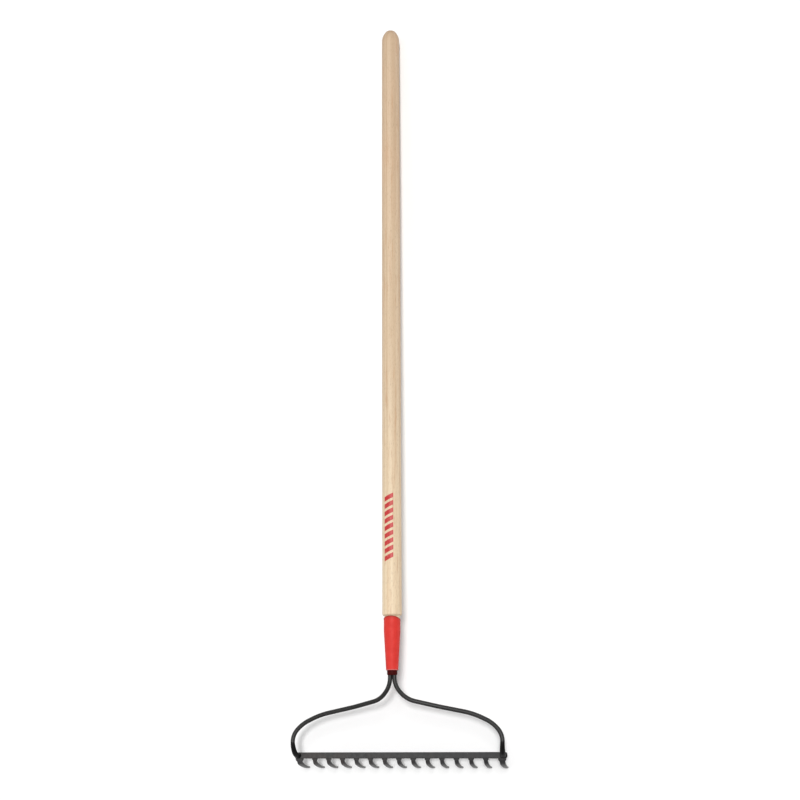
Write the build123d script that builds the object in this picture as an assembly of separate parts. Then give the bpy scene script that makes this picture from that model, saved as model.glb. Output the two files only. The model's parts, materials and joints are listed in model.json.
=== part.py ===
from build123d import *
import math
import os

# Bow rake, built as an assembly of separate pieces, in millimetres.
#
# Each piece is drawn in the tool's own axes: +Y runs up the handle from the middle of
# the toothed bar, X runs along the bar, Z = 0 is the handle's axis and the tines point
# to -Z. The whole rake is then laid down as it rests on a floor: on the tips of its
# tines and the butt of its handle, with +Z up.

# Handle: a turned ash pole, a little thicker towards the butt
HANDLE_FOOT_Y = 153.0        # lower end, just above the foot of the ferrule
HANDLE_LENGTH = 1372.0       # 54 inches
HANDLE_LOW_R = 18.4          # just above the ferrule
GRIP_R = 19.0                # cylindrical grip stretch
GRIP_START_Y = 1100.0
SHOULDER_LOW_Y = 249.6       # the wood steps out of the ferrule here
SHOULDER_HIGH_Y = 253.0
CHAMFER_START_Y = 1506.0     # the butt's broad chamfer, slightly rounded
CHAMFER_BULGE = 1.4
BUTT_FLAT_R = 11.5
BUTT_CROWN = 0.4

# Ferrule: a tapered steel tube, its upper edge cut at a slant
FERRULE_FOOT_Y = 152.0
FERRULE_TOP_Y = 249.6        # highest point of the slanted edge, on the upper side
FERRULE_SLANT = 11.6         # how much lower the edge is on the tine side
FERRULE_R = 15.6
FERRULE_WAIST_R = 13.5
FERRULE_FOOT_R = 11.4
FERRULE_TAPER_Y = 222.0
FERRULE_WAIST_Y = 187.0
FERRULE_WALL = 1.3
WOOD_GAP = 0.1               # radial clearance between wood and ferrule

# Nose: the collar that closes the ferrule round the two rods, with a step inside it
NOSE_FOOT_Y = 142.5
NOSE_STEP_R = 10.0
NOSE_TOP_R = 9.6
NOSE_FOOT_R = 8.9
NOSE_BEVEL = 2.5
ROD_GAP = 0.1

# Pin driven through the ferrule, the handle and the tangs from the tine side
PIN_R = 2.0
PIN_Y = 206.0
PIN_HEAD_R = 3.8
PIN_HEAD_HEIGHT = 1.4
PIN_END_Z = 9.0
PIN_GAP = 0.05
PIN_TIP_ROOM = 0.5           # the hole runs this far past the pin's tip

# Bow rods: round steel, each with a half-round tang inside the handle
ROD_R = 4.1
TANG_R = 5.0
TANG_GAP = 0.2
TANG_FOOT_Y = HANDLE_FOOT_Y
TANG_TAPER_Y = 250.0
TANG_END_Y = 268.0
TANG_END_R = 2.5
TANG_TIP_ROOM = 1.0          # the bore runs this far past the tangs

# Corners of the right-hand rod's centre line with their bend radii, from the nose to
# the bar: it leaves straight, spreads, runs out low and turns down beside the bar.
BOW_START = (ROD_R, TANG_FOOT_Y, 0.0)
BOW_CORNERS = [
    ((ROD_R, 124.0, 0.0), 38.0),
    ((24.5, 99.3, -9.0), 48.0),
    ((80.0, 86.5, -21.0), 130.0),
    ((147.0, 73.2, -25.0), 145.0),
    ((182.0, 56.5, -24.5), 64.0),
    ((198.8, 37.0, -23.0), 32.0),
]
BOW_END = (198.8, 24.0, -23.0)

# Bar: a flat strip, the tines on its front edge
BAR_DEPTH = 11.1             # along Y
BAR_THICKNESS = 5.0          # along Z
BAR_MID_Z = -50.0
BAR_HALF_LENGTH = 203.0
BAR_END_R = 4.0
BAR_EDGE_R = 1.2

# End lugs: the forged ends of the bow, an arc from each rod down onto the bar
LUG_BEND_R = 24.0
LUG_INSET = 3.0              # how far the lug leans in on its way down
LUG_STATIONS = [             # turned angle in degrees, half width, half thickness
    (0.0, ROD_R, ROD_R),
    (25.0, 4.6, 4.3),
    (50.0, 5.1, 4.5),
    (75.0, 5.4, 4.7),
    (95.0, 5.5, 4.8),
]

# Tines: each leaves the bar forwards, bends down, then curves gently to its tip
TINE_COUNT = 15
TINE_PITCH = 27.2
TINE_BEND_R = 9.0
TINE_BEND_DEG = 72.0
TINE_SHANK_R = 170.0
TINE_MID_THICKNESS = 5.2
TINE_TIP_THICKNESS = 3.0
TINE_WIDTHS = (10.4, 7.2, 4.4)          # root, below the bend, tip
END_TINE_WIDTHS = (15.0, 9.6, 5.2)
END_TINE_OUTSET = 3.0        # the end tines stand this much nearer the bar's ends
TINE_EDGE_R = 1.0
TINE_ROOM = 40.0             # more than any tine reaches forwards
CUT_PAST = 1.0               # how far a cutting shape runs past the face it opens

# Values that follow from the ones above
HANDLE_END_Y = HANDLE_FOOT_Y + HANDLE_LENGTH
BAR_FRONT_Y = -BAR_DEPTH / 2
BAR_TOP_Z = BAR_MID_Z + BAR_THICKNESS / 2


def ring_profile(points):
    """Solid of revolution about the handle's axis from (radius, y) corners."""
    outline = Polyline(*[(r, y) for r, y in points], close=True)
    return revolve(make_face(outline), axis=Axis.Y)


def ferrule_radius(y):
    """Outer radius of the ferrule at a place along the handle."""
    if y >= FERRULE_TAPER_Y:
        return FERRULE_R
    if y >= FERRULE_WAIST_Y:
        share = (y - FERRULE_WAIST_Y) / (FERRULE_TAPER_Y - FERRULE_WAIST_Y)
        return FERRULE_WAIST_R + share * (FERRULE_R - FERRULE_WAIST_R)
    share = (y - FERRULE_FOOT_Y) / (FERRULE_WAIST_Y - FERRULE_FOOT_Y)
    return FERRULE_FOOT_R + share * (FERRULE_WAIST_R - FERRULE_FOOT_R)


def pin_hole(radius, low_z, high_z):
    """Round bar across the ferrule, used as the pin and as its holes."""
    height = high_z - low_z
    return Pos(0, PIN_Y, (low_z + high_z) / 2) * Cylinder(radius, height)


def make_handle():
    inner = FERRULE_WALL + WOOD_GAP
    butt_edge = (BUTT_FLAT_R, HANDLE_END_Y - BUTT_CROWN)
    with BuildSketch() as profile:
        with BuildLine():
            Polyline(
                (0, HANDLE_FOOT_Y),
                (ferrule_radius(HANDLE_FOOT_Y) - inner, HANDLE_FOOT_Y),
                (FERRULE_WAIST_R - inner, FERRULE_WAIST_Y),
                (FERRULE_R - inner, FERRULE_TAPER_Y),
                (FERRULE_R - inner, SHOULDER_LOW_Y),
                (HANDLE_LOW_R, SHOULDER_HIGH_Y),
                (GRIP_R, GRIP_START_Y),
                (GRIP_R, CHAMFER_START_Y),
            )
            SagittaArc((GRIP_R, CHAMFER_START_Y), butt_edge, -CHAMFER_BULGE)
            Line(butt_edge, (0, HANDLE_END_Y))
            Line((0, HANDLE_END_Y), (0, HANDLE_FOOT_Y))
        make_face()
    pole = revolve(profile.sketch, axis=Axis.Y)
    bore_r = TANG_R + TANG_GAP
    bore_end_y = TANG_END_Y + TANG_TIP_ROOM
    bore = ring_profile([
        (0, HANDLE_FOOT_Y), (bore_r, HANDLE_FOOT_Y), (bore_r, TANG_TAPER_Y),
        (TANG_END_R + TANG_GAP, bore_end_y), (0, bore_end_y),
    ])
    return pole - bore - pin_hole(PIN_R + PIN_GAP, -FERRULE_R, PIN_END_Z + PIN_TIP_ROOM)


def make_ferrule():
    stations = [FERRULE_FOOT_Y, FERRULE_WAIST_Y, FERRULE_TAPER_Y, FERRULE_TOP_Y]
    outer = [(ferrule_radius(y), y) for y in stations]
    inner = [(r - FERRULE_WALL, y) for r, y in reversed(outer)]
    tube = ring_profile(outer + inner)
    slant_deg = math.degrees(math.atan2(FERRULE_SLANT, 2 * FERRULE_R))
    block = 4 * FERRULE_R
    top_point = Pos(0, FERRULE_TOP_Y, FERRULE_R) * Rot(X=-slant_deg)
    slant_cut = top_point * Pos(0, block / 2, 0) * Box(block, block, 2 * block)
    return tube - slant_cut - pin_hole(PIN_R + PIN_GAP, -FERRULE_R - CUT_PAST, 0)


def make_nose():
    collar = ring_profile([
        (0, NOSE_FOOT_Y), (NOSE_FOOT_R, NOSE_FOOT_Y), (NOSE_TOP_R, NOSE_FOOT_Y + NOSE_BEVEL),
        (NOSE_TOP_R, FERRULE_FOOT_Y), (NOSE_STEP_R, FERRULE_FOOT_Y),
        (NOSE_STEP_R, HANDLE_FOOT_Y), (0, HANDLE_FOOT_Y),
    ])
    slot_r = ROD_R + ROD_GAP
    slot = SlotCenterToCenter(2 * ROD_R, 2 * slot_r)
    depth = HANDLE_FOOT_Y - NOSE_FOOT_Y + 2 * CUT_PAST
    tool = extrude(Plane.XZ.offset(CUT_PAST - NOSE_FOOT_Y) * slot, -depth)
    return collar - tool


def make_pin():
    low = -ferrule_radius(PIN_Y + PIN_HEAD_R)
    shank = pin_hole(PIN_R, low, PIN_END_Z)
    bulge = (PIN_HEAD_R ** 2 + PIN_HEAD_HEIGHT ** 2) / (2 * PIN_HEAD_HEIGHT)
    dome = Pos(0, PIN_Y, low - PIN_HEAD_HEIGHT + bulge) * Sphere(bulge)
    slab = Pos(0, PIN_Y, low - PIN_HEAD_HEIGHT / 2)
    slab *= Cylinder(PIN_HEAD_R, PIN_HEAD_HEIGHT)
    return shank + (dome & slab)


def make_rod():
    """Right-hand rod of the bow, with its half-round tang."""
    corners = [corner for corner, _ in BOW_CORNERS]
    radii = [radius for _, radius in BOW_CORNERS]
    path = FilletPolyline(BOW_START, *corners, BOW_END, radius=radii)
    start = Plane(origin=path @ 0, z_dir=path % 0)
    rod = sweep(start * Circle(ROD_R), path=path)
    tang = ring_profile([
        (0, TANG_FOOT_Y), (TANG_R, TANG_FOOT_Y), (TANG_R, TANG_TAPER_Y),
        (TANG_END_R, TANG_END_Y), (0, TANG_END_Y),
    ])
    keep = Pos(TANG_R, (TANG_FOOT_Y + TANG_END_Y) / 2, 0)
    keep *= Box(2 * TANG_R, TANG_END_Y - TANG_FOOT_Y, 4 * TANG_R)
    return rod + (tang & keep) - pin_hole(PIN_R + PIN_GAP, -FERRULE_R, PIN_END_Z + PIN_TIP_ROOM)


def make_lug():
    """Right-hand lug: an arc of growing oval sections, cut flat on the bar."""
    end_x, end_y, end_z = BOW_END
    sections = []
    for angle_deg, half_width, half_thickness in LUG_STATIONS:
        angle = math.radians(angle_deg)
        lean = LUG_INSET * angle_deg / 90
        centre = (
            end_x - lean,
            end_y - LUG_BEND_R * math.sin(angle),
            end_z - LUG_BEND_R * (1 - math.cos(angle)),
        )
        along = (0, -math.cos(angle), -math.sin(angle))
        plane = Plane(origin=centre, x_dir=(1, 0, 0), z_dir=along)
        sections.append(plane * Ellipse(half_width, half_thickness))
    arm = loft(sections)
    block = 8 * LUG_BEND_R
    below_bar = Pos(end_x, end_y, BAR_TOP_Z - block / 2) * Box(block, block, block)
    return arm - below_bar


def make_bar():
    outline = RectangleRounded(2 * BAR_HALF_LENGTH, BAR_DEPTH, BAR_END_R)
    strip = extrude(Pos(0, 0, BAR_MID_Z - BAR_THICKNESS / 2) * outline, BAR_THICKNESS)
    long_edges = strip.edges().filter_by(Axis.X)
    return fillet(long_edges.group_by(Axis.Y)[-1], BAR_EDGE_R)


def tine_point(angle_deg, outward=0.0):
    """Side view of the tine's path where it has turned this far, moved outward from it."""
    bend_deg = min(angle_deg, TINE_BEND_DEG)
    bend = math.radians(bend_deg)
    angle = math.radians(angle_deg)
    y = BAR_FRONT_Y - TINE_BEND_R * math.sin(bend)
    z = BAR_MID_Z - TINE_BEND_R * (1 - math.cos(bend))
    y -= TINE_SHANK_R * (math.sin(angle) - math.sin(bend))
    z -= TINE_SHANK_R * (math.cos(bend) - math.cos(angle))
    return (y - outward * math.sin(angle), z + outward * math.cos(angle))


def tine_side():
    """Outline of the tine from the side: a tight bend, then a long gentle curve."""
    stations = [
        (0.0, BAR_THICKNESS),
        (TINE_BEND_DEG / 2, (BAR_THICKNESS + TINE_MID_THICKNESS) / 2),
        (TINE_BEND_DEG, TINE_MID_THICKNESS),
        ((TINE_BEND_DEG + 90.0) / 2, (TINE_MID_THICKNESS + TINE_TIP_THICKNESS) / 2),
        (90.0, TINE_TIP_THICKNESS),
    ]
    front = [tine_point(angle, thickness / 2) for angle, thickness in stations]
    back = [tine_point(angle, -thickness / 2) for angle, thickness in stations]
    with BuildSketch(Plane.YZ) as outline:
        with BuildLine():
            for edge in (front, back):
                ThreePointArc(*edge[0:3])
                ThreePointArc(*edge[2:5])
            Line(front[0], back[0])
            Line(front[-1], back[-1])
        make_face()
    return outline.sketch


def tine_plan(root, mid):
    """Outline from above: the root flares out to the bar. Widths are half widths."""
    flare = root - mid
    flare_end_y = BAR_FRONT_Y - 2 * flare
    far_y = BAR_FRONT_Y - TINE_ROOM
    with BuildSketch() as outline:
        with BuildLine():
            Line((-root, BAR_FRONT_Y), (root, BAR_FRONT_Y))
            RadiusArc((root, BAR_FRONT_Y), (mid, flare_end_y), 2.5 * flare)
            Polyline((mid, flare_end_y), (mid, far_y), (-mid, far_y), (-mid, flare_end_y))
            RadiusArc((-mid, flare_end_y), (-root, BAR_FRONT_Y), 2.5 * flare)
        make_face()
    return outline.sketch


def tine_front(root, mid, tip):
    """Outline from the front: the shank narrows to its tip. Widths are half widths."""
    bend_z = tine_point(TINE_BEND_DEG)[1]
    tip_z = tine_point(90.0)[1]
    right = [(root, 0), (root, bend_z), (mid, bend_z), (tip, tip_z)]
    left = [(-x, z) for x, z in reversed(right)]
    return Plane.XZ * make_face(Polyline(*right, *left, close=True))


def make_tine(widths):
    """One tine at the middle of the bar, where its three outlines cross."""
    root, mid, tip = (width / 2 for width in widths)
    side = extrude(tine_side(), root, both=True)
    plan = extrude(tine_plan(root, mid), 3 * TINE_ROOM, dir=(0, 0, -1))
    front = extrude(tine_front(root, mid, tip), 2 * TINE_ROOM, dir=(0, -1, 0))
    blank = side & plan & front
    free_edges = [edge for edge in blank.edges() if edge.center().Y < BAR_FRONT_Y - 0.01]
    return fillet(free_edges, TINE_EDGE_R)


def rest_on_floor(pieces):
    """Lays the rake on its tine tips and butt, centred, with the floor at Z = 0."""
    tip_y, tip_z = tine_point(90.0, -TINE_TIP_THICKNESS / 2)
    fall_deg = math.degrees(math.atan2(-GRIP_R - tip_z, CHAMFER_START_Y - tip_y))
    tilt = Rot(X=-fall_deg)
    boxes = [(tilt * piece).bounding_box() for piece in pieces.values()]
    low_y = min(box.min.Y for box in boxes)
    high_y = max(box.max.Y for box in boxes)
    low_z = min(box.min.Z for box in boxes)
    return Pos(0, -(low_y + high_y) / 2, -low_z) * tilt


def write_parts():
    os.makedirs("parts", exist_ok=True)
    rod = make_rod()
    lug = make_lug()
    plain_tine = make_tine(TINE_WIDTHS)
    end_tine = make_tine(END_TINE_WIDTHS)
    pieces = {
        "handle": make_handle(),
        "ferrule": make_ferrule(),
        "ferrule_nose": make_nose(),
        "ferrule_pin": make_pin(),
        "bow_rod_right": rod,
        "bow_rod_left": mirror(rod, about=Plane.YZ),
        "end_lug_right": lug,
        "end_lug_left": mirror(lug, about=Plane.YZ),
        "rake_bar": make_bar(),
    }
    for number in range(TINE_COUNT):
        x = (number - (TINE_COUNT - 1) / 2) * TINE_PITCH
        tine = plain_tine
        if number in (0, TINE_COUNT - 1):
            x += math.copysign(END_TINE_OUTSET, x)
            tine = end_tine
        pieces[f"tine_{number + 1:02d}"] = Pos(x, 0, 0) * tine
    rest = rest_on_floor(pieces)
    for name, piece in pieces.items():
        export_step(rest * piece, f"parts/{name}.step")


write_parts()
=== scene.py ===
import json
import math

import bmesh
import bpy
from mathutils import Matrix, Vector


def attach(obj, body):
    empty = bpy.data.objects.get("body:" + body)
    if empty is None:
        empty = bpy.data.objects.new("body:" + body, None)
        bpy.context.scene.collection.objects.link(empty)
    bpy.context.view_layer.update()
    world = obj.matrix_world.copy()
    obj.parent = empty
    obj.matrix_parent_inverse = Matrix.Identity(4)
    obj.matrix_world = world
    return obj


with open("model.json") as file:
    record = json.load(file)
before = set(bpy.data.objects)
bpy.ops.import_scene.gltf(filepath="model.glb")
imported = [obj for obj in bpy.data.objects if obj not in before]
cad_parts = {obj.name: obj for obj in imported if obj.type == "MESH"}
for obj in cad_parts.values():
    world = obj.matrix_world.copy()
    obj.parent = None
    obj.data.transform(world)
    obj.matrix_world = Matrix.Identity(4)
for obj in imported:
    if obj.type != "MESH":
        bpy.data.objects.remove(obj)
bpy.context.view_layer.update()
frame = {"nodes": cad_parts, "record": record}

# The rake lies on its tine tips and the butt of its handle, so its own axes are the row's
# axes turned about X. In its own axes +Y runs up the handle and the bar is at Y = 0.
MOUNTS = {mount["name"]: mount for mount in frame["record"]["mounts"]}
HANDLE_WAY = Vector(MOUNTS["handle_grip"]["axis"])
GRIP_CENTRE = Vector(MOUNTS["handle_grip"]["pos_m"])
BAR_BACK = Vector(MOUNTS["bar_hanging_edge"]["pos_m"])
UP_WAY = Vector((1, 0, 0)).cross(HANDLE_WAY)
FALL = math.atan2(-HANDLE_WAY.z, HANDLE_WAY.y)
BAR_HALF_DEPTH = 0.00555
ORIGIN = GRIP_CENTRE - HANDLE_WAY * ((GRIP_CENTRE - BAR_BACK).dot(HANDLE_WAY) + BAR_HALF_DEPTH)

# Camera: high over the head's end of the rake, half a metre to its right
CAMERA_AT = Vector((0.505, -0.594, 2.161))
CAMERA_AIM = Vector((0.0156, -0.0710, 0.060))
CAMERA_ROLL_DEG = -1.08
CAMERA_LENS = 50.0

# Light: suns as (name, way to it, spread in degrees, strength), in an even white surround.
# The two key suns make one soft light from above, and a broad weak one fills from the left.
SUNS = [
    ("key_near", Vector((0.16, 0.12, 1.0)), 9.0, 1.70),
    ("key_far", Vector((0.15, 0.34, 1.0)), 20.0, 0.65),
    ("fill", Vector((-1.0, 0.1, 0.9)), 70.0, 0.38),
]
SURROUND_STRENGTH = 0.33
FLOOR_HALF = 30.0
FLOOR_WHITE = 0.95


def in_row(x, y, z):
    """A point given in the rake's own axes, in the row's frame."""
    return ORIGIN + Vector((x, 0, 0)) + HANDLE_WAY * y + UP_WAY * z


# ---------------------------------------------------------------- shader helpers

class Shader:
    """A small builder round one material's node tree."""

    def __init__(self, name):
        self.material = bpy.data.materials.new(name)
        self.material.use_nodes = True
        self.tree = self.material.node_tree
        self.surface = self.tree.nodes["Principled BSDF"]

    def node(self, kind, **settings):
        made = self.tree.nodes.new(kind)
        for name, value in settings.items():
            setattr(made, name, value)
        return made

    def join(self, source, target):
        self.tree.links.new(source, target)

    def place(self, scale=(1, 1, 1)):
        """Object coordinates turned into the rake's own axes, then stretched."""
        coordinates = self.node("ShaderNodeTexCoord").outputs["Object"]
        turn = self.node("ShaderNodeMapping")
        turn.inputs["Rotation"].default_value = (FALL, 0, 0)
        self.join(coordinates, turn.inputs["Vector"])
        stretch = self.node("ShaderNodeMapping")
        stretch.inputs["Scale"].default_value = scale
        self.join(turn.outputs["Vector"], stretch.inputs["Vector"])
        return stretch.outputs["Vector"]

    def noise(self, vector, scale, detail=3.0, roughness=0.5, distortion=0.0):
        made = self.node("ShaderNodeTexNoise")
        made.inputs["Scale"].default_value = scale
        made.inputs["Detail"].default_value = detail
        made.inputs["Roughness"].default_value = roughness
        made.inputs["Distortion"].default_value = distortion
        self.join(vector, made.inputs["Vector"])
        return made.outputs["Fac"]

    def ramp(self, value, stops):
        """A ramp of (place, colour or grey level) stops."""
        made = self.node("ShaderNodeValToRGB")
        elements = made.color_ramp.elements
        while len(elements) < len(stops):
            elements.new(0.5)
        for element, (place, colour) in zip(elements, stops):
            element.position = place
            if isinstance(colour, (int, float)):
                colour = (colour, colour, colour)
            element.color = (*colour, 1)
        self.join(value, made.inputs["Fac"])
        return made.outputs["Color"]

    def mix(self, share, first, second, blend="MIX"):
        made = self.node("ShaderNodeMix", data_type="RGBA", blend_type=blend)
        for source, socket in ((share, 0), (first, 6), (second, 7)):
            if isinstance(source, (int, float)):
                made.inputs[socket].default_value = source
            elif isinstance(source, tuple):
                made.inputs[socket].default_value = (*source, 1)
            else:
                self.join(source, made.inputs[socket])
        return made.outputs[2]

    def maths(self, operation, first, second=0.0):
        made = self.node("ShaderNodeMath", operation=operation)
        for source, socket in ((first, 0), (second, 1)):
            if isinstance(source, (int, float)):
                made.inputs[socket].default_value = source
            else:
                self.join(source, made.inputs[socket])
        return made.outputs[0]

    def span(self, vector, axis, low, high):
        """0 to 1 between two values of one coordinate."""
        split = self.node("ShaderNodeSeparateXYZ")
        self.join(vector, split.inputs["Vector"])
        made = self.node("ShaderNodeMapRange")
        made.inputs["From Min"].default_value = low
        made.inputs["From Max"].default_value = high
        self.join(split.outputs[axis], made.inputs["Value"])
        return made.outputs["Result"]

    def along(self, low, high):
        """0 to 1 along the handle between two places in the rake's own axes, in metres."""
        origin_y = ORIGIN.dot(HANDLE_WAY)
        return self.span(self.place(), "Y", origin_y + low, origin_y + high)

    def across(self, low, high):
        """0 to 1 along the bar between two places, in metres from its middle."""
        return self.span(self.place(), "X", low, high)

    def height(self, low, high):
        """0 to 1 between two heights over the floor, in metres."""
        coordinates = self.node("ShaderNodeTexCoord").outputs["Object"]
        return self.span(coordinates, "Z", low, high)

    def bump(self, height, distance, strength=1.0):
        made = self.node("ShaderNodeBump")
        made.inputs["Strength"].default_value = strength
        made.inputs["Distance"].default_value = distance
        self.join(height, made.inputs["Height"])
        self.join(made.outputs["Normal"], self.surface.inputs["Normal"])

    def set(self, **values):
        """Sets the shader's own sockets, named with _ for a space."""
        for name, value in values.items():
            socket = self.surface.inputs[name.replace("_", " ")]
            if isinstance(value, bpy.types.NodeSocket):
                self.join(value, socket)
            else:
                socket.default_value = value


# ---------------------------------------------------------------- materials

# Stretches where a look changes, as (low, high) in metres
WOOD_TONE = (0.25, 1.5)          # along the pole: pale near the head, browner at the butt
BUTT_HANDLED = (1.500, 1.528)
FOOT_CHIPPED = (0.151, 0.156)
MOUTH_CHIPPED = (0.240, 0.250)
# Painted shade: the ferrule's red darkened just under its mouth, for the shadow line at the wood's
# shoulder
MOUTH_PAINTED_SHADE = (0.241, 0.249)
TINE_WORN = (0.002, 0.052)       # over the floor
BAR_PAINTED_SHADE = (-0.10, 0.19)        # across: painted shade, darker black towards +X
RING_CENTRE = (0.045, 0, 0.02)   # the growth rings' middle, off the pole's own


def ash_wood():
    """Turned ash: growth rings, long streaks, short flecks, fibres, pores and a handled butt."""
    s = Shader("ash_wood")
    flecks = s.noise(s.place((1, 0.06, 1)), 240, detail=3, roughness=0.6)
    streaks = s.noise(s.place((1, 0.02, 1)), 130, detail=2)
    warp = s.noise(s.place((1, 0.25, 1)), 14, detail=2)
    rings = s.node("ShaderNodeTexWave", wave_type="RINGS", rings_direction="Y")
    rings.inputs["Scale"].default_value = 62
    rings.inputs["Distortion"].default_value = 3.2
    rings.inputs["Detail"].default_value = 3
    rings.inputs["Detail Scale"].default_value = 0.05
    offset = s.node("ShaderNodeVectorMath", operation="ADD")
    offset.inputs[1].default_value = RING_CENTRE
    s.join(s.place((1, 0.03, 1)), offset.inputs[0])
    s.join(offset.outputs[0], rings.inputs["Vector"])
    fibres = s.noise(s.place((1, 0.012, 1)), 1500, detail=2)
    pores = s.noise(s.place((1, 0.05, 1)), 2300, detail=1)

    far = s.ramp(s.along(*WOOD_TONE), [(0.0, 0.0), (0.35, 0.62), (1.0, 1.0)])
    pale = s.mix(far, (0.86, 0.72, 0.51), (0.635, 0.475, 0.325))
    deep = s.mix(far, (0.72, 0.535, 0.345), (0.51, 0.355, 0.225))
    ring_share = s.ramp(rings.outputs["Fac"], [(0.35, 0.0), (0.95, 0.55)])
    colour = s.mix(ring_share, pale, deep)
    streak_share = s.ramp(streaks, [(0.50, 0.0), (0.72, 0.55)])
    colour = s.mix(streak_share, colour, deep)
    warm_share = s.ramp(warp, [(0.45, 0.0), (0.75, 0.30)])
    colour = s.mix(warm_share, colour, (0.70, 0.44, 0.28))
    fibre_share = s.ramp(fibres, [(0.40, 0.0), (0.75, 0.28)])
    colour = s.mix(fibre_share, colour, deep)
    fleck_share = s.ramp(flecks, [(0.54, 0.0), (0.70, 0.65)])
    colour = s.mix(fleck_share, colour, (0.56, 0.34, 0.20))
    pore_share = s.ramp(pores, [(0.62, 0.0), (0.70, 0.55)])
    colour = s.mix(pore_share, colour, (0.33, 0.21, 0.12))
    handled = s.ramp(s.along(*BUTT_HANDLED), [(0.0, 0.0), (0.40, 0.28), (1.0, 0.85)])
    handled_share = s.maths("MULTIPLY", handled, s.ramp(warp, [(0.25, 0.5), (0.7, 1.0)]))
    colour = s.mix(handled_share, colour, (0.30, 0.195, 0.125))
    s.set(Base_Color=colour, Specular_IOR_Level=0.25, Coat_Weight=0.06, Coat_Roughness=0.45)
    s.set(Roughness=s.ramp(fibres, [(0.3, 0.52), (0.8, 0.68)]))
    s.bump(s.maths("SUBTRACT", fibres, pore_share), 0.00012, 0.5)
    return s.material


def red_enamel(name, high, low):
    """Enamel on steel between two shades of red, with painted shade darkening it at the mouth,
    chipped at the edges.
    """
    s = Shader(name)
    place = s.place()
    mottle = s.noise(place, 90, detail=4)
    peel = s.noise(place, 900, detail=2)
    chips = s.noise(place, 520, detail=5, roughness=0.65)
    foot = s.ramp(s.along(*FOOT_CHIPPED), [(0.0, 0.16), (1.0, 0.0)])
    top = s.ramp(s.along(*MOUTH_CHIPPED), [(0.0, 0.0), (1.0, 0.08)])
    edge = s.maths("ADD", foot, top)
    chipped = s.ramp(s.maths("ADD", chips, edge), [(0.74, 0.0), (0.78, 1.0)])
    red = s.mix(s.ramp(mottle, [(0.35, 0.0), (0.75, 0.6)]), high, low)
    # Painted shade: a dark red band just under the ferrule's mouth
    mouth_painted_shade = s.ramp(s.along(*MOUTH_PAINTED_SHADE), [(0.0, 0.0), (1.0, 0.45)])
    red = s.mix(mouth_painted_shade, red, (0.30, 0.035, 0.022))
    colour = s.mix(chipped, red, (0.13, 0.05, 0.045))
    s.set(Base_Color=colour, Specular_IOR_Level=0.22)
    s.set(Roughness=s.ramp(mottle, [(0.3, 0.52), (0.8, 0.66)]))
    s.bump(s.maths("SUBTRACT", peel, chipped), 0.00006, 0.5)
    return s.material


def nose_painted_shade():
    """Near-black red as painted shade on the ferrule's nose, which lies in shade under the ferrule,
    mottled.
    """
    s = Shader("nose_painted_shade")
    mottle = s.noise(s.place(), 300, detail=4)
    # Painted shade: near-black reds for the shaded underside of the ferrule
    colour = s.mix(mottle, (0.030, 0.0015, 0.0015), (0.075, 0.004, 0.004))
    s.set(Base_Color=colour, Specular_IOR_Level=0.06)
    s.set(Roughness=s.ramp(mottle, [(0.3, 0.50), (0.7, 0.70)]))
    s.bump(mottle, 0.0002, 0.4)
    return s.material


def black_paint(name, low, high, gloss):
    """Black lacquer on drawn steel between two shades, with grit and small rubbed spots."""
    s = Shader(name)
    mottle = s.noise(s.place(), 160, detail=5, roughness=0.6)
    grit = s.noise(s.place(), 1400, detail=3)
    rubbed = s.ramp(s.noise(s.place(), 420, detail=6, roughness=0.7), [(0.66, 0.0), (0.72, 0.6)])
    colour = s.mix(s.ramp(mottle, [(0.3, 0.0), (0.75, 1.0)]), low, high)
    colour = s.mix(rubbed, colour, (0.13, 0.12, 0.115))
    s.set(Base_Color=colour, Specular_IOR_Level=gloss)
    s.set(Roughness=s.ramp(mottle, [(0.3, 0.38), (0.8, 0.55)]))
    s.bump(s.maths("ADD", grit, s.maths("MULTIPLY", mottle, 2.0)), 0.00012, 0.45)
    return s.material


def forged_steel():
    """Dark scale, brown in places, darker towards +X as painted shade, worn pale towards the tine
    tips.
    """
    s = Shader("forged_steel")
    mottle = s.noise(s.place(), 120, detail=6, roughness=0.62)
    scale = s.noise(s.place(), 650, detail=4)
    scratch = s.noise(s.place((1, 1, 0.08)), 1100, detail=2)
    brown = s.noise(s.place(), 22, detail=3)
    tip = s.ramp(s.height(*TINE_WORN), [(0.0, 1.0), (0.5, 0.62), (1.0, 0.0)])
    mottled = s.ramp(mottle, [(0.3, 0.0), (0.75, 1.0)])
    base = s.mix(mottled, (0.022, 0.022, 0.023), (0.062, 0.060, 0.059))
    base = s.mix(s.ramp(brown, [(0.48, 0.0), (0.70, 0.38)]), base, (0.070, 0.047, 0.040))
    # Painted shade: the black darkened towards +X along the bar
    bar_painted_shade = s.ramp(s.across(*BAR_PAINTED_SHADE), [(0.0, 0.0), (0.55, 0.45), (1.0, 0.85)])
    base = s.mix(bar_painted_shade, base, (0.016, 0.016, 0.017))
    scratched = s.ramp(scratch, [(0.35, 0.0), (0.75, 1.0)])
    worn = s.mix(scratched, (0.19, 0.19, 0.185), (0.33, 0.325, 0.31))
    share = s.maths("MULTIPLY", tip, s.ramp(mottle, [(0.25, 0.45), (0.70, 1.0)]))
    colour = s.mix(share, base, worn)
    s.set(Base_Color=colour, Specular_IOR_Level=0.35)
    s.set(Roughness=s.ramp(scale, [(0.3, 0.42), (0.8, 0.66)]))
    s.bump(s.maths("ADD", scale, s.maths("MULTIPLY", mottle, 2.5)), 0.00018, 0.45)
    return s.material


def pin_steel():
    """Bright wire, turned and slightly tarnished."""
    s = Shader("pin_steel")
    tarnish = s.noise(s.place(), 700, detail=4)
    colour = s.mix(tarnish, (0.42, 0.41, 0.40), (0.62, 0.61, 0.59))
    s.set(Base_Color=colour, Metallic=0.9)
    s.set(Roughness=s.ramp(tarnish, [(0.3, 0.28), (0.7, 0.45)]))
    s.bump(tarnish, 0.00005, 0.4)
    return s.material


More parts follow.
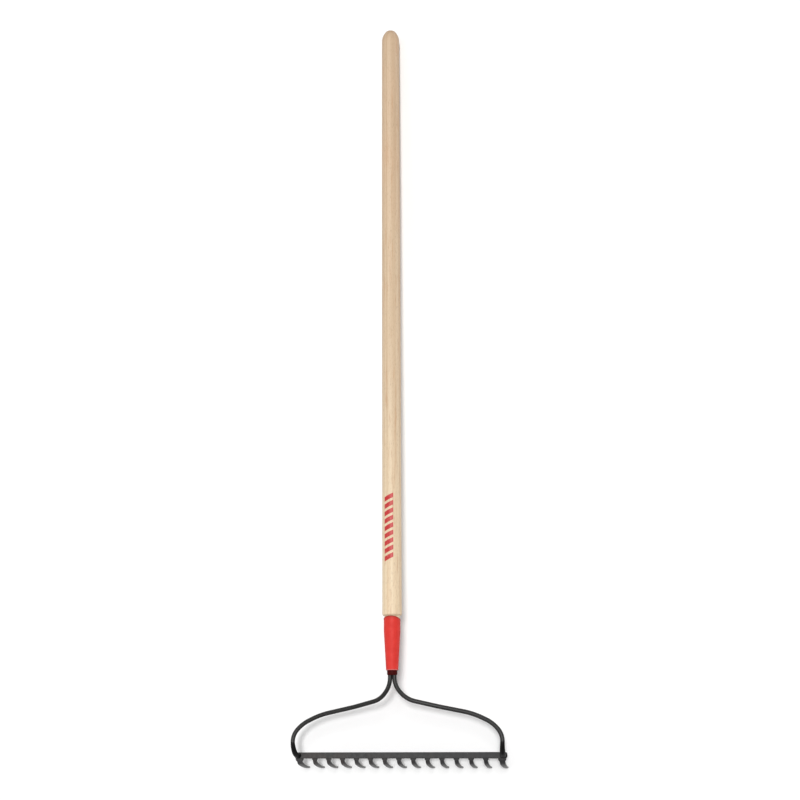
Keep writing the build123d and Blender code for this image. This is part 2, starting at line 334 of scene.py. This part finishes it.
def mark_ink():
    """Red screen ink, a little broken where the wood's pores show through."""
    s = Shader("mark_ink")
    pores = s.noise(s.place((1, 0.06, 1)), 1900, detail=2)
    broken = s.ramp(pores, [(0.60, 0.0), (0.68, 0.55)])
    colour = s.mix(broken, (0.52, 0.020, 0.022), (0.66, 0.36, 0.25))
    s.set(Base_Color=colour)
    s.set(Roughness=s.ramp(pores, [(0.3, 0.42), (0.8, 0.58)]))
    s.bump(pores, 0.00005, 0.4)
    return s.material


def floor_paper():
    s = Shader("floor_paper")
    fine = s.noise(s.place(), 40, detail=2)
    s.set(Base_Color=s.mix(fine, (FLOOR_WHITE,) * 3, (FLOOR_WHITE - 0.01,) * 3), Roughness=0.9)
    s.set(Specular_IOR_Level=0.1)
    return s.material


def dress(node, material):
    """Gives a CAD node its finished material."""
    slots = frame["nodes"][node].data.materials
    slots.clear()
    slots.append(material)


# ---------------------------------------------------------------- pieces

# Sizes of the ferrule, the bar and the lugs that the small pieces sit on
FERRULE_R = 0.0156
FERRULE_TOP_Y = 0.2496
FERRULE_SLANT = 0.0116
FERRULE_FOOT_Y = 0.152
FERRULE_FOOT_R = 0.0114
BAR_TOP_Z = -0.0475
LUG_FOOT_X = 0.1959
LUG_FOOT_HALF_WIDTH = 0.0056
LUG_FOOT_HALF_DEPTH = 0.0042

# Beads: their section, and how finely they are made
LIP_R = 0.0007
RIM_R = 0.0010
WELD_R = 0.0010
WELD_RIPPLE = 0.16               # share of the weld's radius, and how many go round
WELD_RIPPLES = 11
WELD_SWELL = 0.10
WELD_SWELLS = 5
BEAD_STEPS = 96
BEAD_SIDES = 10

# The row of bars on the pole, and the pole's own sizes under it
MARK_START = 0.3555
MARK_BARS = 9
MARK_BAR_LENGTH = 0.0090
MARK_PITCH = 0.0144
MARK_TURN_DEG = -6.0
MARK_HALF_DEG = 28.0
MARK_SLANT = 0.0042
MARK_STEPS = 16
MARK_THICKNESS = 0.00009
HANDLE_LOW_R = 0.0184
HANDLE_LOW_Y = 0.253
GRIP_R = MOUNTS["handle_grip"]["dims"]["r_mm"] / 1000
GRIP_START_Y = 1.100


def handle_radius(y):
    """Radius of the pole between the ferrule and the grip."""
    share = (y - HANDLE_LOW_Y) / (GRIP_START_Y - HANDLE_LOW_Y)
    return HANDLE_LOW_R + share * (GRIP_R - HANDLE_LOW_R)


def on_handle(angle, y, lift):
    """A point on the pole's skin, at an angle from its upper side."""
    radius = handle_radius(y) + lift
    return in_row(radius * math.sin(angle), y, radius * math.cos(angle))


def link(mesh, name, material):
    piece = bpy.data.objects.new(name, mesh)
    bpy.context.scene.collection.objects.link(piece)
    piece.data.materials.append(material)
    return piece


def curved_bar(bm, start_y, end_y):
    """A thin closed patch that follows the pole, slanted from edge to edge."""
    rows = []
    for lift in (-MARK_THICKNESS / 2, MARK_THICKNESS):
        for edge_y in (start_y, end_y):
            row = []
            for step in range(MARK_STEPS + 1):
                turn = 2 * step / MARK_STEPS - 1
                angle = math.radians(MARK_TURN_DEG + MARK_HALF_DEG * turn)
                row.append(bm.verts.new(on_handle(angle, edge_y + MARK_SLANT * turn, lift)))
            rows.append(row)
    low_start, low_end, high_start, high_end = rows
    for step in range(MARK_STEPS):
        following = step + 1
        for first, second in (
            (high_start, high_end), (high_end, low_end), (low_end, low_start), (low_start, high_start)
        ):
            bm.faces.new((first[step], second[step], second[following], first[following]))
    for step in (0, MARK_STEPS):
        bm.faces.new([row[step] for row in (low_start, low_end, high_end, high_start)])


def grip_mark(material):
    """A plain row of slanted bars printed on the pole's upper side."""
    bm = bmesh.new()
    for number in range(MARK_BARS):
        start_y = MARK_START + number * MARK_PITCH
        curved_bar(bm, start_y, start_y + MARK_BAR_LENGTH)
    bmesh.ops.recalc_face_normals(bm, faces=bm.faces)
    mesh = bpy.data.meshes.new("grip_mark")
    bm.to_mesh(mesh)
    bm.free()
    piece = link(mesh, "grip_mark", material)
    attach(piece, "root")


def closed_bead(name, centre, points, radii, material):
    """A closed bead of round section round a centre, one radius at each point."""
    bm = bmesh.new()
    rings = []
    for number, point in enumerate(points):
        ahead = (points[(number + 1) % len(points)] - points[number - 1]).normalized()
        outward = point - centre
        outward -= ahead * outward.dot(ahead)
        outward.normalize()
        side = ahead.cross(outward)
        ring = []
        for step in range(BEAD_SIDES):
            angle = math.tau * step / BEAD_SIDES
            spoke = outward * math.cos(angle) + side * math.sin(angle)
            ring.append(bm.verts.new(point + spoke * radii[number]))
        rings.append(ring)
    for number, ring in enumerate(rings):
        for step in range(BEAD_SIDES):
            before = rings[number - 1]
            bm.faces.new((before[step - 1], before[step], ring[step], ring[step - 1]))
    for face in bm.faces:
        face.smooth = True
    bmesh.ops.recalc_face_normals(bm, faces=bm.faces)
    mesh = bpy.data.meshes.new(name)
    bm.to_mesh(mesh)
    bm.free()
    piece = link(mesh, name, material)
    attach(piece, "root")


def turns(count):
    return [math.tau * step / count for step in range(count)]


def ferrule_top_lip(material):
    """The thin turned edge of the ferrule's slanted mouth."""
    radius = FERRULE_R - LIP_R / 2
    points = []
    for angle in turns(BEAD_STEPS):
        x = radius * math.sin(angle)
        z = radius * math.cos(angle)
        y = FERRULE_TOP_Y - FERRULE_SLANT * (1 - z / FERRULE_R) / 2
        points.append(in_row(x, y, z))
    centre = in_row(0, FERRULE_TOP_Y - FERRULE_SLANT / 2, 0)
    closed_bead("ferrule_top_lip", centre, points, [LIP_R] * BEAD_STEPS, material)


def ferrule_foot_rim(material):
    """The rolled rim at the ferrule's foot, over the nose."""
    radius = FERRULE_FOOT_R - RIM_R / 2
    points = []
    for angle in turns(BEAD_STEPS):
        points.append(in_row(radius * math.sin(angle), FERRULE_FOOT_Y, radius * math.cos(angle)))
    centre = in_row(0, FERRULE_FOOT_Y, 0)
    closed_bead("ferrule_foot_rim", centre, points, [RIM_R] * BEAD_STEPS, material)


def lug_weld(side_name, side, material):
    """The lumpy weld round a lug's foot, on the upper side of the bar."""
    centre = in_row(side * LUG_FOOT_X, 0, BAR_TOP_Z)
    points = []
    radii = []
    for angle in turns(BEAD_STEPS):
        x = side * (LUG_FOOT_X + LUG_FOOT_HALF_WIDTH * math.cos(angle))
        points.append(in_row(x, LUG_FOOT_HALF_DEPTH * math.sin(angle), BAR_TOP_Z))
        ripple = WELD_RIPPLE * math.sin(WELD_RIPPLES * angle)
        swell = WELD_SWELL * math.sin(WELD_SWELLS * angle + side)
        radii.append(WELD_R * (1 + ripple + swell))
    closed_bead(f"lug_weld_{side_name}", centre, points, radii, material)


# ---------------------------------------------------------------- stage

def make_floor(material):
    bm = bmesh.new()
    bmesh.ops.create_grid(bm, x_segments=1, y_segments=1, size=FLOOR_HALF)
    mesh = bpy.data.meshes.new("floor")
    bm.to_mesh(mesh)
    bm.free()
    link(mesh, "floor", material)


def make_sun(name, way, spread_deg, strength):
    data = bpy.data.lights.new(name, "SUN")
    data.energy = strength
    data.angle = math.radians(spread_deg)
    sun = bpy.data.objects.new(name, data)
    sun.rotation_mode = "QUATERNION"
    sun.rotation_quaternion = way.to_track_quat("Z", "Y")
    bpy.context.scene.collection.objects.link(sun)


def make_light():
    for sun in SUNS:
        make_sun(*sun)
    world = bpy.data.worlds.new("surround")
    world.use_nodes = True
    world.node_tree.nodes["Background"].inputs["Color"].default_value = (1, 1, 1, 1)
    world.node_tree.nodes["Background"].inputs["Strength"].default_value = SURROUND_STRENGTH
    bpy.context.scene.world = world
    bpy.context.scene.view_settings.view_transform = "Standard"


def make_camera():
    data = bpy.data.cameras.new("camera")
    data.lens = CAMERA_LENS
    camera = bpy.data.objects.new("camera", data)
    back = (CAMERA_AT - CAMERA_AIM).normalized()
    right = Vector((0, 1, 0)).cross(back).normalized()
    up = back.cross(right)
    roll = Matrix.Rotation(math.radians(CAMERA_ROLL_DEG), 3, "Z")
    turned = Matrix((right, up, back)).transposed() @ roll
    camera.matrix_world = Matrix.Translation(CAMERA_AT) @ turned.to_4x4()
    bpy.context.scene.collection.objects.link(camera)
    bpy.context.scene.camera = camera


make_camera()
make_light()
make_floor(floor_paper())

STEEL = forged_steel()
ROD_BLACK = black_paint("black_rod", (0.010, 0.010, 0.010), (0.030, 0.028, 0.026), 0.35)
# The lugs and their welds get a darker copy of the rods' black: painted shade, as they sit in shade
LUG_SHADED_BLACK = black_paint("black_lug_painted_shade", (0.002, 0.002, 0.002), (0.009, 0.009, 0.009), 0.10)
dress("handle", ash_wood())
dress("ferrule", red_enamel("red_enamel", (0.70, 0.040, 0.030), (0.58, 0.027, 0.020)))
dress("ferrule_nose", nose_painted_shade())
dress("ferrule_pin", pin_steel())
for side in ("left", "right"):
    dress(f"bow_rod_{side}", ROD_BLACK)
    dress(f"end_lug_{side}", LUG_SHADED_BLACK)
dress("rake_bar", STEEL)
for node in sorted(frame["nodes"]):
    if node.startswith("tine_"):
        dress(node, STEEL)
grip_mark(mark_ink())
# The lip gets dark reds: painted shade for the shadow line in the gap between the ferrule's mouth and
# the wood
ferrule_top_lip(red_enamel("lip_red_painted_shade", (0.34, 0.022, 0.016), (0.24, 0.016, 0.012)))
ferrule_foot_rim(red_enamel("rim_red", (0.70, 0.15, 0.14), (0.60, 0.10, 0.095)))
lug_weld("right", 1, LUG_SHADED_BLACK)
lug_weld("left", -1, LUG_SHADED_BLACK)
